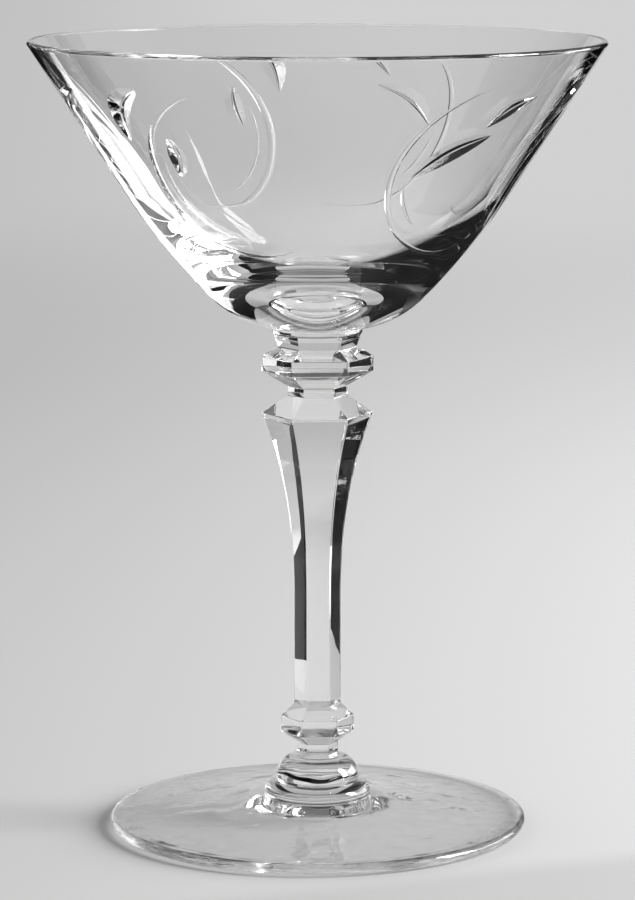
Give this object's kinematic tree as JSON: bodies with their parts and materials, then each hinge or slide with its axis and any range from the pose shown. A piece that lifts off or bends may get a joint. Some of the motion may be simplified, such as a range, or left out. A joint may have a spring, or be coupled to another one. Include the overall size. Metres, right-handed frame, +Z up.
{
  "type": "stemmed sherbet glass",
  "caption": "Clear stemmed sherbet glass: conical bowl with a cut leaf-and-scroll band on a faceted knopped stem and a round foot, for iced desserts or drinks.",
  "frame": {"origin": "centre of the ring on the foot's underside that rests on the table", "axes": "+Z up along the glass's axis, with one flat side of the stem facing -Y"},
  "size_m": [0.11, 0.11, 0.1523],
  "materials": {
    "clear_crystal": "fire-polished clear crystal, with polished cuts on the bowl"
  },
  "bodies": {
    "root": {"bowl": "clear_crystal", "bowl_merese": "clear_crystal", "stem": "clear_crystal", "foot_button": "clear_crystal", "foot": "clear_crystal"}
  },
  "joints": []
}
